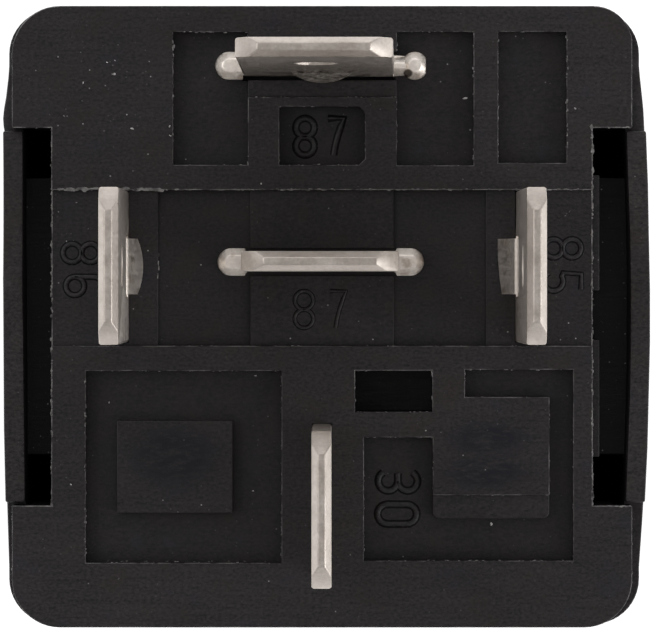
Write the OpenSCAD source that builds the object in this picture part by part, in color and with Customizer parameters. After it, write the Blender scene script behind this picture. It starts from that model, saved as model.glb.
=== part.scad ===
// Plug-in automotive relay with five 6.3 mm blades, standing on the closed end of its cover.
// Z = 0 is the cover's flat end, the blades point up, and the coil's axis is vertical.

/* [Cover] */
// Width of the cover over its bulged side walls
cover_w = 27.02; // [26.9:0.02:27.1]
// How far the left side wall bulges between the corners
bulge_left = 0.19; // [0.15:0.01:0.3]
// How far the right side wall bulges between the corners
bulge_right = 0.40; // [0.35:0.01:0.5]
// Depth of the cover, front to back
cover_d = 25.8; // [25.7:0.05:25.85]
// Wall thickness of the cover
cover_wall = 0.82; // [0.7:0.01:0.85]
// Thickness of the cover's closed end
cover_end = 0.9; // [0.8:0.1:1.0]
// Corner radius of the cover, seen along the blades
cover_r = 1.9; // [1.8:0.1:2.1]
// Radius round the edge of the closed end
cover_edge_r = 0.7; // [0.5:0.1:0.8]

/* [Base] */
// Height of the flange's face above the closed end
body_h = 25.5; // [25.3:0.1:28]
// Width of the flange
flange_w = 25.84; // [25.8:0.02:25.9]
// Depth of the flange
flange_d = 25.9; // [25.86:0.02:25.95]
// Corner radius of the flange
flange_r = 2.0; // [1.9:0.1:2.1]
// Tighter radius of its corner between terminals 85 and 87
flange_tight_r = 1.6; // [1.5:0.1:1.9]
// Thickness of the flange
flange_t = 1.6; // [1.4:0.1:1.7]
// Length of each side notch
notch_l = 15.74; // [15.4:0.02:16]
// Width of the base between its side notches
waist_w = 22.56; // [22.4:0.02:22.6]
// Depth of each side notch below the face
notch_depth = 3.5; // [3.3:0.1:3.6]
// Depth of the moulded pockets
pocket_depth = 0.7; // [0.6:0.05:0.8]
// How far the base sits to the left in the cover, by the play of its snap fit
base_shift = 0.19; // [0.15:0.01:0.2]

/* [Blades] */
// Width of a blade
blade_w = 6.3; // [6.2:0.05:6.3]
// Thickness of a blade
blade_t = 0.8; // [0.75:0.01:0.8]
// Length of a blade above the flange
blade_l = 11.3; // [10.5:0.1:12]
// Diameter of the detent hole in each blade
detent_d = 1.8; // [1.4:0.1:2.0]
// How far the outer output blade leans out at its tip
outer_lean = 0.35; // [0:0.05:0.4]
// How far the outer output blade leans to the left at its tip
outer_side_lean = 0.16; // [0:0.02:0.2]
// How far a locking lance stands out
lance_out = 0.63; // [0.5:0.01:0.75]

/* [Magnet and contacts] */
// Opening angle of the armature at rest
gap_angle = 3.2; // [3.0:0.1:3.2]
// Diameter of the winding
winding_d = 12.4; // [11:0.1:12.6]
// Thickness of the yoke's sheet
yoke_t = 1.4; // [1.3:0.05:1.4]
// Thickness of the armature
armature_t = 1.3; // [1.2:0.05:1.3]
// Thickness of the contact spring
spring_t = 0.25; // [0.2:0.01:0.25]

/* [Hidden] */
$fn = 48;

plastic = [0.16, 0.15, 0.155];
tin = [0.80, 0.77, 0.73];
iron = [0.55, 0.55, 0.56];
copper = [0.66, 0.36, 0.20];
bronze = [0.76, 0.58, 0.32];
silver = [0.86, 0.85, 0.82];
nylon = [0.20, 0.22, 0.24];

eps = 0.01;            // overrun of a cutting tool past the face it cuts
fit_gap = 0.08;        // gap between the base's plug and the cover
run_gap = 0.05;        // gap between pieces that meet when the relay closes

// Cover
bulge_l = 21;          // length of the bulge of each side wall
cover_corner_w = cover_w - bulge_left - bulge_right;
corner_shift = (bulge_left - bulge_right) / 2;      // middle of the corners, from that of the bulges
flange_z = body_h - flange_t;
tongue_top = body_h - 0.4;
tongue_gap = 0.12;     // gap from a tongue of the cover to the end of its notch
groove_depth = 0.3;
groove_l = 12;

// Base
plug_d = cover_d - 2 * cover_wall - 2 * fit_gap;
plug_w = cover_corner_w - 2 * cover_wall - 2 * fit_gap - 2 * (base_shift + corner_shift);
plate_z = body_h - 4.9;      // underside of the base plate
ledge_z = body_h - notch_depth;
ledge_t = 1.0;
leg_drop = 3.0;              // corner guide legs below the plate
leg_t = 1.2;
rib_t = 0.3;                 // ribs on the wall of the notch beside terminal 85
rib_drop = 0.5;
channel_y = [-1.21, 5.28];   // central channel, from its front to its back edge
channel_steps = [3.0, 6.83]; // where the channel's floor changes level
channel_depth = [0.3, 0.5, 0.25];
window_depth = 3.2;
seat_post_r = 1.1;           // posts that press on the yoke

// Terminals, each with its place on the face
t85 = [8.47, 2.09];
t86 = [-8.47, 2.09];
t30 = [0, -7.62];
t87_outer = [-0.15, 10.46];
t87_centre = [-0.05, 2.28];
lean_85 = 0.1;
tip_t = 0.3;                 // thickness of a blade's end, between its bevels
tip_bevel = 0.4;
tip_chamfer = 0.9;
detent_z = body_h + blade_l - 4.4;
slot_relief = 0.19;          // beside the output blades, deep for the outer one
slot_relief_depth = [1.0, 0.25];
slot_play = 0.02;            // round the other blades
lance_w = 2.3;
lance_t = 0.55;
lance_low = 0.35;
lance_high = 2.5;
lance_bend = 0.12;           // how far a lance steps out at its bend
lance_end_r = 3;             // radius of its free end
slant_end_r = 12;            // terminal 85 has a longer lance with a straighter, slanting end
slant_extra = 0.13;
slant_shift = -0.89;
bump_out = 0.33;             // the outer output blade has a pressed bump in place of a lance
bump_end_r = 2.2;
bump_shift = 0.15;
ear_span = 8.6;              // over both shoulder ears
ear_t = 1.14;
ear_top = 0.35;              // height of an ear above the face
ear_bevel = 0.3;
ear_neck = 0.4;              // neck between the outer output blade and its right ear
ear_head_l = 0.93;
sheet_t = 0.8;               // sheet of the link, the feet and the rest stop
tail_y = [2.2, 4.2];         // tails of the coil terminals
tail_z = 15.2;
foot_y = [-10.2, -5.3];      // foot of terminal 30
foot_end = 4.4;
foot_bend_r = 0.75;
foot_rivet = [2.5, -7.7];
link_slot_w = 4.0;
link_w = 6.2;
link_y = [1.4, 11.3];
strip_w = 5.0;               // strip below the outer output terminal
strip_bend_r = 1.3;
contact_foot_end = 5.4;
stop_x = [3.4, 6.4];
stop_y = [6.2, 9.4];
stop_hold = 2.0;             // length of the rest stop that is held in the base
stop_bend_r = 1.3;
stop_reach = -2.2;

// Magnet
coil_y = -2.6;
yoke_w = 13;
yoke_back = -11.2;           // outer face of the yoke's side leg
yoke_front = 0.6;
pole_z = 5.3;                // pole face and end of the yoke
pole_r = 3.9;
pole_t = 1.0;
core_r = 2.6;
core_neck_r = 1.9;
core_head_r = 2.5;
core_head_t = 0.4;
bobbin_bottom = pole_z + pole_t;
bobbin_top = plate_z - 0.8 - yoke_t;
bobbin_flange_t = 1.0;
bobbin_flange = [13.4, 13.2];
bobbin_tube_r = 3.4;
winding_l = bobbin_top - bobbin_bottom - 2 * bobbin_flange_t;
lead_d = 0.3;
lead_turns = 3;
lead_pitch = 0.45;
lead_z = bobbin_top - bobbin_flange_t - 0.6;
yoke_bend_r = 1.9;
yoke_ear_w = 0.6;
yoke_ear_l = 1.1;

// Armature, spring and contacts, in the closed position before they are turned open
hinge_y = -10.95;
hinge_z = pole_z - run_gap;
armature_end = 4.6;
armature_w = 11.4;
armature_tip_w = 8.4;
armature_shoulder = [-1.5, 1.4];
armature_heel = 0.45;        // chamfer at the heel, inside the bend of the spring
spring_w = 9.4;
spring_tip_r = 2.1;
spring_top = 15.2;           // upper end of the leg on the yoke
spring_bend_r = 0.6;
contact_y = 7.6;
moving_r = 1.6;
moving_t = 1.0;
moving_shank_r = 0.8;
moving_tail_r = 1.1;
moving_tail_t = 0.4;
fixed_r = 1.7;
fixed_t = 0.9;
fixed_shank_r = 0.9;
button_edge = 0.15;
spring_z = hinge_z - armature_t;                     // armature's lower face, closed
contact_z = spring_z + moving_t;                     // meeting plane of the contacts
foot_z = contact_z + run_gap + fixed_t;              // underside of the outer terminal's foot
stop_z = hinge_z                                     // top of the rest stop
    - (contact_y + moving_tail_r - hinge_y) * sin(gap_angle)
    + (spring_z - spring_t - moving_tail_t - hinge_z) * cos(gap_angle) - run_gap;
// Centre of the spring's bend, which touches the yoke's back and the open armature's lower face
bend_z = hinge_z + (
    spring_bend_r - armature_t - (yoke_back + spring_bend_r - hinge_y) * sin(gap_angle)
) / cos(gap_angle);
bend_steps = 12;
spring_neck_y = [4.9, 6.4];
spring_window = [6.8, 9.2];
spring_window_w = 3.6;
rivet_r = 0.75;
rivet_head_r = 1.25;
rivet_head_t = 0.4;
yoke_rivet_z = 12.4;
yoke_rivet_x = 2.7;
armature_rivet_y = 2.9;
armature_rivet_x = 2.9;

// A rectangle with round corners, centred on the origin
module round_rect(size, r) {
    inner = [size[0] - 2 * r, size[1] - 2 * r];
    square([size[0], inner[1]], center = true);
    square([inner[0], size[1]], center = true);
    for (x = [-1, 1], y = [-1, 1])
        translate([x * inner[0] / 2, y * inner[1] / 2])
            circle(r);
}

// A box given by its lowest and highest corners
module block(low, high) {
    translate(low)
        cube(high - low);
}

// A profile drawn in Y and Z, given a width along X
module along_x(width) {
    translate([-width / 2, 0, 0])
        rotate([90, 0, 90])
            linear_extrude(width)
                children();
}

// A profile drawn in X and Z, given a depth along Y
module along_y(depth) {
    translate([0, depth / 2, 0])
        rotate([90, 0, 0])
            linear_extrude(depth)
                children();
}

// Side view of a strip bent at a right angle. Its outer corner is the origin, rounded to
// radius r, with one leg along +Y and one along +X.
module bent_strip(up, out, t, r) {
    inner = max(r - t, 0);
    difference() {
        union() {
            square([t, up]);
            square([out, t]);
        }
        difference() {
            translate([-1, -1])
                square(r + 1);
            translate([r, r])
                circle(r);
        }
    }
    if (inner > 0)
        difference() {
            translate([t / 2, t / 2])
                square(inner + t / 2);
            translate([r, r])
                circle(inner);
        }
}

// Everything inside turns about the hinge to its open place
module opened() {
    translate([0, hinge_y, hinge_z])
        rotate([-gap_angle, 0, 0])
            translate([0, -hinge_y, -hinge_z])
                children();
}

// Places what is centred on the base, which sits a little to one side in the cover
module seated() {
    translate([-base_shift, 0, 0])
        children();
}

/* ---- Cover ---- */

// Outline of the cover, drawn in by inset on every side: each side wall is a flat arc
module cover_outline(inset) {
    translate([corner_shift, 0])
        round_rect([cover_corner_w - 2 * inset, cover_d - 2 * inset], cover_r - inset);
    for (side = [-1, 1]) {
        h = side < 0 ? bulge_left : bulge_right;
        r = (pow(bulge_l / 2, 2) + h * h) / (2 * h);
        intersection() {
            translate([side * (cover_w / 2 - r), 0])
                circle(r - inset, $fn = 360);
            // The arc ends inside the corner, just past the end of the bulge
            translate([side * cover_w / 4, 0])
                square([cover_w / 2, bulge_l + 0.2], center = true);
        }
    }
}

// Upright section of the cover with its two lower corners rounded
module cover_section(width, height) {
    r = cover_edge_r;
    translate([-width / 2, r])
        square([width, height - r]);
    translate([r - width / 2, 0])
        square([width - 2 * r, height]);
    for (side = [-1, 1])
        translate([side * (width / 2 - r), r])
            circle(r);
}

module cover() {
    color(plastic)
        difference() {
            intersection() {
                linear_extrude(tongue_top)
                    cover_outline(0);
                along_y(cover_d + 2)
                    cover_section(cover_w, tongue_top);
                along_x(cover_w + 2)
                    cover_section(cover_d, tongue_top);
            }
            translate([0, 0, cover_end])
                linear_extrude(tongue_top)
                    cover_outline(cover_wall);
            // The rim is lower where the flange rests on it, which leaves a tongue on each side
            for (side = [-1, 1])
                translate([0, side * (cover_d + notch_l / 2 - tongue_gap), flange_z + 2])
                    cube([cover_w + 2, 2 * cover_d, 4], center = true);
            for (side = [-1, 1])
                translate([side * (cover_w / 2 - cover_wall), 0, ledge_z - ledge_t / 2])
                    cube([2 * groove_depth, groove_l, ledge_t + 0.2], center = true);
        }
}

/* ---- Base ---- */

// The flange with its two side notches
module flange() {
    translate([0, 0, flange_z])
        linear_extrude(flange_t)
            difference() {
                union() {
                    round_rect([flange_w, flange_d], flange_r);
                    intersection() {
                        round_rect([flange_w, flange_d], flange_tight_r);
                        square([flange_w, flange_d]);
                    }
                }
                for (side = [-1, 1])
                    translate([side * (waist_w + 4) / 2, 0])
                        square([4, notch_l], center = true);
            }
}

// The plug that fills the mouth of the cover
module plug() {
    translate([0, 0, plate_z])
        linear_extrude(flange_z - plate_z)
            difference() {
                round_rect([plug_w, plug_d], cover_r - cover_wall);
                for (side = [-1, 1])
                    translate([side * (waist_w + 4) / 2, 0])
                        square([4, notch_l], center = true);
            }
    // Snap ledges, which click into the grooves of the cover
    ledge_reach = cover_w / 2 - cover_wall + groove_depth - 0.1;
    for (side = [-1, 1])
        block(
            [side > 0 ? waist_w / 2 - eps : base_shift - ledge_reach,
             -groove_l / 2 + 0.15, ledge_z - ledge_t],
            [side > 0 ? base_shift + ledge_reach : -waist_w / 2 + eps,
             groove_l / 2 - 0.15, ledge_z]
        );
}

// Corner legs that guide the base into the cover, and the posts that press on the yoke
module guide_legs() {
    translate([0, 0, plate_z - leg_drop])
        linear_extrude(leg_drop + eps)
            difference() {
                round_rect([plug_w, plug_d], cover_r - cover_wall);
                round_rect([plug_w - 2 * leg_t, plug_d - 2 * leg_t], 0.4);
                square([plug_w - 7.2, plug_d + 2], center = true);
                square([plug_w + 2, plug_d - 7.4], center = true);
            }
    for (x = [-5, 5])
        translate([x, coil_y, bobbin_top + yoke_t])
            cylinder(r = seat_post_r, h = plate_z - bobbin_top - yoke_t + eps);
}

// A straight-sided recess in the face
module pocket(x, y, depth) {
    block([x[0], y[0], body_h - depth], [x[1], y[1], body_h + 1]);
}

module upper_pockets() {
    pocket([-6.20, -3.09], [6.33, 11.86], pocket_depth);
    pocket([3.12, 6.31], [6.31, 11.87], pocket_depth);
    pocket([7.35, 10.18], [6.41, 11.87], pocket_depth);
    // Number pocket, with its right corners cut off
    label = [[-1.78, 6.33], [1.79, 8.75]];
    cut = 0.25;
    translate([0, 0, body_h - pocket_depth - 0.2])
        linear_extrude(pocket_depth + 1.2)
            polygon([
                label[0], [label[1][0] - cut, label[0][1]], [label[1][0], label[0][1] + cut],
                [label[1][0], label[1][1] - cut], [label[1][0] - cut, label[1][1]],
                [label[0][0], label[1][1]]
            ]);
    // Shallow step beside the outer output blade
    pocket([-3.2, 3.2], [9.15, 10.9], 0.2);
}

module channel() {
    for (side = [-1, 1]) {
        edges = [0, channel_steps[0], channel_steps[1], waist_w / 2 + 1];
        for (i = [0:2])
            pocket(
                side > 0 ? [edges[i], edges[i + 1]] : [-edges[i + 1], -edges[i]],
                channel_y, channel_depth[i]
            );
    }
}

module lower_left_pocket() {
    difference() {
        pocket([-9.84, -1.69], [-10.25, -2.26], pocket_depth);
        block([-8.55, -8.18, 0], [-3.72, -4.33, body_h - 0.12]);
    }
}

module lower_right_pocket() {
    island = [4.61, 9.48];
    front = -8.42;
    r = 0.28;
    pocket([5.96, 10.46], [-3.34, -2.21], pocket_depth);
    pocket([island[1], 10.46], [-10.16, -2.21], pocket_depth);
    pocket([1.75, 10.46], [-10.16, front], pocket_depth);
    pocket([1.75, island[0]], [-10.16, -5.03], pocket_depth);
    pocket([island[0] - eps, island[1] + eps], [front - eps, -7.44], 0.2);
    // The front corners of the island are rounded
    for (side = [0, 1])
        translate([island[side] + (side ? -r : r), front + r, body_h - pocket_depth])
            difference() {
                translate([side ? 0 : -r - 0.1, -r - 0.1, 0])
                    cube([r + 0.1, r + 0.1, 2]);
                cylinder(r = r, h = 5, center = true);
            }
}

// Slot for a blade: a close fit below, and a relief of the given width and depth at the face
module blade_slot(at, angle, relief, depth) {
    translate([at[0], at[1], 0])
        rotate([0, 0, angle]) {
            linear_extrude(body_h + 1)
                square([blade_w, blade_t], center = true);
            translate([0, 0, body_h - depth])
                linear_extrude(depth + 1)
                    square([blade_w + 0.04, blade_t + 2 * relief], center = true);
        }
}

module base() {
    color(plastic) {
        difference() {
            union() {
                flange();
                plug();
                guide_legs();
            }
            upper_pockets();
            channel();
            lower_left_pocket();
            lower_right_pocket();
            // Deep window beside terminal 30
            pocket([1.38, 4.59], [-3.96, -2.25], window_depth);
            for (at = [t85, t86, t30])
                blade_slot(at, 90, slot_play, 1);
            blade_slot(t87_outer, 0, slot_relief, pocket_depth + slot_relief_depth[0]);
            // Room for the neck of its right ear
            pocket([t87_outer[0], 3.2],
                   [for (side = [-1, 1]) t87_outer[1] + side * (blade_t / 2 + slot_relief)],
                   pocket_depth);
            blade_slot(t87_centre, 0, slot_relief, channel_depth[0] + slot_relief_depth[1]);
            // Slot for the rest stop, and room for the rivet of terminal 30
            block([stop_x[0], t87_outer[1] - sheet_t / 2, 0],
                  [stop_x[1], t87_outer[1] + sheet_t / 2, plate_z + stop_hold]);
            translate([foot_rivet[0], foot_rivet[1], plate_z - 1])
                cylinder(r = rivet_head_r + 0.2, h = 1 + rivet_head_t);
        }
        // Two low ribs on the notch wall beside terminal 85
        for (y = [[1.09, 5.91], [-5.85, -0.97]])
            block([waist_w / 2 - eps, y[0], ledge_z - eps],
                  [waist_w / 2 + rib_t, y[1], body_h - rib_drop]);
    }
}

/* ---- Terminals ---- */

// Width of a blade seen from its side, with chamfered corners at a tip that leans sideways
module blade_face(lean) {
    w = blade_w / 2;
    top = body_h + blade_l;
    corner_z = top - tip_chamfer;
    corner_lean = lean * (blade_l - tip_chamfer) / blade_l;
    polygon([
        [-w, plate_z], [w, plate_z], [w, body_h], [w + corner_lean, corner_z],
        [w - tip_chamfer + lean, top], [tip_chamfer - w + lean, top], [corner_lean - w, corner_z],
        [-w, body_h]
    ]);
}

// Thickness of a blade, which is bevelled at its tip and leans outwards above the flange
module blade_edge(lean) {
    t = blade_t / 2;
    top = body_h + blade_l;
    bevel_z = top - tip_bevel;
    bevel_lean = lean * (blade_l - tip_bevel) / blade_l;
    polygon([
        [-t, plate_z], [t, plate_z], [t, body_h], [t + bevel_lean, bevel_z],
        [lean + tip_t / 2, top], [lean - tip_t / 2, top], [bevel_lean - t, bevel_z], [-t, body_h]
    ]);
}

// A blade: its width lies along X, and its outer face looks along +Y
module blade(lean = 0, side_lean = 0, lanced = false) {
    difference() {
        intersection() {
            along_y(4)
                blade_face(side_lean);
            along_x(blade_w + 2)
                blade_edge(lean);
        }
        translate([side_lean * (detent_z - body_h) / blade_l, 0, detent_z])
            rotate([90, 0, 0])
                cylinder(d = detent_d, h = 4, center = true);
        if (lanced)
            block([-lance_w / 2 - 0.1, -2, body_h + lance_low - 0.15],
                  [lance_w / 2 + 0.1, 2, body_h + lance_high]);
    }
}

// A locking lance, cut out of the blade and bent inwards. Its free end has radius end_r, and
// slants if the centre of that radius is shifted.
module lance(out, end_r, shift) {
    t = blade_t / 2;
    intersection() {
        along_x(lance_w)
            polygon([
                [-t, body_h + lance_high + 0.4], [-t, body_h + lance_high],
                [-t - lance_bend, body_h + lance_high - lance_bend / 2],
                [-t - out, body_h + lance_low], [lance_t - t - out, body_h + lance_low],
                [lance_t - t, body_h + lance_high], [lance_t - t, body_h + lance_high + 0.4]
            ]);
        translate([shift, end_r - t - out, body_h])
            cylinder(r = end_r, h = lance_high + 1);
    }
}

// A bump pressed out of the blade, with its round lower end just above the face
module pressed_bump() {
    t = blade_t / 2;
    intersection() {
        along_x(lance_w + 0.6)
            polygon([
                [0, body_h + lance_high + 0.4], [-t, body_h + lance_high],
                [-t - bump_out, body_h + lance_low], [0, body_h + lance_low]
            ]);
        translate([bump_shift, bump_end_r - t - bump_out, body_h])
            cylinder(r = bump_end_r, h = lance_high + 1);
    }
}

// Side view of a shoulder ear, with bevelled upper edges
module ear_section(thickness, height) {
    r = thickness / 2;
    polygon([
        [-r, 0], [r, 0], [r, height - ear_bevel], [r - ear_bevel, height],
        [ear_bevel - r, height], [-r, height - ear_bevel]
    ]);
}

// A shoulder ear beside a blade, which rests on the floor of its recess
module ear(floor_depth) {
    height = floor_depth + ear_top;
    r = ear_t / 2;
    straight = (ear_span - blade_w) / 2 - r;
    translate([blade_w / 2, 0, body_h - floor_depth]) {
        translate([straight, 0, 0]) {
            cylinder(r = r, h = height - ear_bevel);
            translate([0, 0, height - ear_bevel])
                cylinder(r1 = r, r2 = r - ear_bevel, h = ear_bevel);
        }
        translate([straight / 2, 0, 0])
            along_x(straight)
                ear_section(ear_t, height);
    }
}

// A shoulder ear that was pinched to a neck, with a round head
module necked_ear(floor_depth) {
    height = floor_depth + ear_top;
    r = ear_t / 2;
    head = blade_w / 2 + ear_neck + ear_head_l / 2;
    translate([0, 0, body_h - floor_depth]) {
        translate([blade_w / 2 + ear_neck / 2, 0, 0])
            along_x(ear_neck + 0.2)
                ear_section(blade_t, height - 0.1);
        intersection() {
            translate([head, 0, 0]) {
                cylinder(r = r, h = height - ear_bevel);
                translate([0, 0, height - ear_bevel])
                    cylinder(r1 = r, r2 = r - ear_bevel, h = ear_bevel);
            }
            translate([head, 0, height / 2])
                cube([ear_head_l, 2, height + 1], center = true);
        }
    }
}

// A coil terminal, with a narrow tail below the base for its lead
module coil_terminal(lean, out, end_r, shift) {
    blade(lean, lanced = true);
    lance(out, end_r, shift);
}

module coil_tail(side) {
    block([side * t85[0] - blade_t / 2, tail_y[0], tail_z],
          [side * t85[0] + blade_t / 2, tail_y[1], plate_z + eps]);
}

module terminal_85() {
    color(tin) {
        translate([t85[0], t85[1], 0])
            rotate([0, 0, -90])
                coil_terminal(lean_85, lance_out + slant_extra, slant_end_r, slant_shift);
        coil_tail(1);
    }
}

module terminal_86() {
    color(tin) {
        translate([t86[0], t86[1], 0])
            rotate([0, 0, 90])
                coil_terminal(0, lance_out, lance_end_r, 0);
        coil_tail(-1);
    }
}

// Terminal 30, with a foot that is bent under the base and riveted to the yoke
module terminal_30() {
    color(tin)
        difference() {
            union() {
                translate([t30[0], t30[1], 0])
                    rotate([0, 0, 90])
                        blade();
                translate([-blade_t / 2, (foot_y[0] + foot_y[1]) / 2, plate_z - sheet_t])
                    along_y(foot_y[1] - foot_y[0])
                        bent_strip(sheet_t + 0.5, foot_end + blade_t / 2, sheet_t, foot_bend_r);
            }
            translate([foot_rivet[0], foot_rivet[1], plate_z - 2])
                cylinder(r = rivet_r, h = 3);
        }
}

// Outer output terminal: a strip runs down to a foot that holds the fixed contact
module terminal_87_outer() {
    outer = t87_outer[1] + blade_t / 2;
    color(tin)
        difference() {
            union() {
                translate([t87_outer[0], t87_outer[1], 0]) {
                    blade(outer_lean, -outer_side_lean);
                    pressed_bump();
                    necked_ear(pocket_depth);
                    mirror([1, 0, 0])
                        ear(pocket_depth);
                }
                translate([0, outer, foot_z])
                    along_x(strip_w)
                        mirror([1, 0])
                            bent_strip(plate_z - foot_z + 0.5, outer - contact_foot_end,
                                       blade_t, strip_bend_r);
            }
            translate([0, contact_y, foot_z - 1])
                cylinder(r = fixed_shank_r, h = 3);
        }
}

module terminal_87_centre() {
    color(tin) {
        translate([t87_centre[0], t87_centre[1], 0]) {
            blade();
            for (side = [0, 1])
                mirror([side, 0, 0])
                    ear(channel_depth[1]);
        }
        block([-link_slot_w / 2, t87_centre[1] - blade_t / 2, plate_z - sheet_t],
              [link_slot_w / 2, t87_centre[1] + blade_t / 2, plate_z + 0.5]);
    }
}

// Strip that joins the two output terminals under the base
module contact_link() {
    color(tin)
        translate([0, 0, plate_z - sheet_t])
            linear_extrude(sheet_t)
                difference() {
                    translate([-link_w / 2, link_y[0]])
                        square([link_w, link_y[1] - link_y[0]]);
                    translate([0, t87_centre[1]])
                        square([link_slot_w, blade_t], center = true);
                    translate([0, t87_outer[1]])
                        square([strip_w, blade_t], center = true);
                }
}

/* ---- Contacts ---- */

// A riveted contact button on an upright axis: face at z = 0, seat at z = t
module button(r, t, shank_r, grip, tail_r, tail_t) {
    rotate_extrude()
        polygon([
            [0, 0], [r - button_edge, 0], [r, button_edge], [r, t], [shank_r, t],
            [shank_r, t + grip], [tail_r, t + grip], [tail_r, t + grip + tail_t],
            [0, t + grip + tail_t]
        ]);
}

module fixed_contact() {
    color(silver)
        translate([0, contact_y, contact_z + run_gap])
            button(fixed_r, fixed_t, fixed_shank_r, blade_t, fixed_shank_r + 0.3, 0.3);
}

module moving_contact() {
    color(silver)
        opened()
            translate([0, contact_y, contact_z])
                mirror([0, 0, 1])
                    button(moving_r, moving_t, moving_shank_r, spring_t, moving_tail_r,
                           moving_tail_t);
}

// Bracket that holds the moving contact while the coil is off
module rest_stop() {
    outer = t87_outer[1] + sheet_t / 2;
    low = stop_z - sheet_t;
    color(tin) {
        translate([(stop_x[0] + stop_x[1]) / 2, outer, low])
            along_x(stop_x[1] - stop_x[0])
                mirror([1, 0])
                    bent_strip(plate_z + stop_hold - low, outer - stop_y[0], sheet_t,
                               stop_bend_r);
        block([stop_reach, stop_y[0], low], [stop_x[0] + 0.5, stop_y[1], stop_z]);
    }
}

/* ---- Coil ---- */

module bobbin() {
    color(nylon)
        translate([0, coil_y, 0])
            difference() {
                union() {
                    translate([0, 0, bobbin_bottom])
                        cylinder(r = bobbin_tube_r, h = bobbin_top - bobbin_bottom);
                    for (z = [bobbin_bottom, bobbin_top - bobbin_flange_t])
                        translate([0, 0, z])
                            linear_extrude(bobbin_flange_t)
                                round_rect(bobbin_flange, 1.2);
                }
                translate([0, 0, bobbin_bottom - 1])
                    cylinder(r = core_r, h = bobbin_top - bobbin_bottom + 2);
            }
}

module coil_winding() {
    color(copper)
        translate([0, coil_y, bobbin_bottom + bobbin_flange_t])
            difference() {
                cylinder(d = winding_d, h = winding_l, $fn = 96);
                translate([0, 0, -1])
                    cylinder(r = bobbin_tube_r, h = winding_l + 2);
            }
}

// A lead leaves the winding in a straight line and is wrapped round the tail of its terminal
module coil_lead(z) {
    inner = t85[0] - blade_t / 2;
    y = coil_y + winding_d / 2 + lead_d / 2 + 0.02;
    color(copper) {
        translate([0, y, z])
            rotate([0, 90, 0])
                cylinder(d = lead_d, h = inner - lead_d + eps);
        for (i = [0:lead_turns - 1])
            translate([t85[0], (tail_y[0] + tail_y[1]) / 2, z - lead_d / 2 - i * lead_pitch])
                linear_extrude(lead_d)
                    difference() {
                        square([blade_t + 2 * lead_d, tail_y[1] - tail_y[0] + 2 * lead_d],
                               center = true);
                        square([blade_t, tail_y[1] - tail_y[0]], center = true);
                    }
        // The wire steps from one turn to the next along the tail's inner face
        translate([inner - lead_d, tail_y[0], z - lead_d / 2 - (lead_turns - 1) * lead_pitch])
            cube([lead_d, lead_d, (lead_turns - 1) * lead_pitch + lead_d]);
    }
}

module coil_lead_85() {
    coil_lead(lead_z);
}

module coil_lead_86() {
    mirror([1, 0, 0])
        coil_lead(lead_z - 0.35);
}

module core() {
    color(iron)
        translate([0, coil_y, 0])
            rotate_extrude()
                polygon([
                    [0, pole_z], [pole_r - 0.2, pole_z], [pole_r, pole_z + 0.2],
                    [pole_r, bobbin_bottom], [core_r, bobbin_bottom], [core_r, bobbin_top],
                    [core_neck_r, bobbin_top], [core_neck_r, bobbin_top + yoke_t],
                    [core_head_r, bobbin_top + yoke_t],
                    [core_head_r - 0.3, bobbin_top + yoke_t + core_head_t],
                    [0, bobbin_top + yoke_t + core_head_t]
                ]);
}

/* ---- Frame and armature ---- */

// The yoke is one bent strip: a leg under the base and a leg down the side of the coil
module yoke() {
    top = bobbin_top + yoke_t;
    color(iron)
        difference() {
            union() {
                translate([0, yoke_back, top])
                    along_x(yoke_w)
                        mirror([0, 1])
                            bent_strip(top - pole_z, yoke_front - yoke_back, yoke_t,
                                       yoke_bend_r);
                // Ears that keep the armature from sliding sideways
                for (side = [-1, 1])
                    translate([side * (yoke_w - yoke_ear_w) / 2, yoke_back + yoke_t / 2, pole_z])
                        cube([yoke_ear_w, yoke_t, 2 * yoke_ear_l], center = true);
            }
            translate([0, coil_y, bobbin_top - 1])
                cylinder(r = core_neck_r, h = yoke_t + 2);
            translate([foot_rivet[0], foot_rivet[1], bobbin_top - 1])
                cylinder(r = rivet_r, h = yoke_t + 2);
            for (side = [-1, 1])
                translate([side * yoke_rivet_x, yoke_back + yoke_t + 1, yoke_rivet_z])
                    rotate([90, 0, 0])
                        cylinder(r = rivet_r, h = yoke_t + 2);
        }
}

module armature_plan() {
    w = armature_w / 2;
    tip = armature_tip_w / 2;
    polygon([
        [-w, hinge_y], [w, hinge_y], [w, armature_shoulder[0]], [tip, armature_shoulder[1]],
        [tip, armature_end - 1], [tip - 1, armature_end], [1 - tip, armature_end],
        [-tip, armature_end - 1], [-tip, armature_shoulder[1]], [-w, armature_shoulder[0]]
    ]);
}

module armature() {
    color(iron)
        opened()
            difference() {
                intersection() {
                    translate([0, 0, spring_z])
                        linear_extrude(armature_t)
                            armature_plan();
                    along_x(armature_w + 2)
                        polygon([
                            [hinge_y, hinge_z], [hinge_y, spring_z + armature_heel],
                            [hinge_y + armature_heel, spring_z], [armature_end + 1, spring_z],
                            [armature_end + 1, hinge_z]
                        ]);
                }
                for (side = [-1, 1])
                    translate([side * armature_rivet_x, armature_rivet_y, spring_z - 1])
                        cylinder(r = rivet_r, h = armature_t + 2);
            }
}

// Points of the spring's bend at radius r, from the leg on the yoke to the arm
function bend_arc(r) = [
    for (i = [0:bend_steps])
        let (a = 180 + (90 - gap_angle) * i / bend_steps)
            [yoke_back + spring_bend_r + r * cos(a), bend_z + r * sin(a)]
];

function reversed(list) = [for (i = [len(list) - 1:-1:0]) list[i]];

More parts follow.
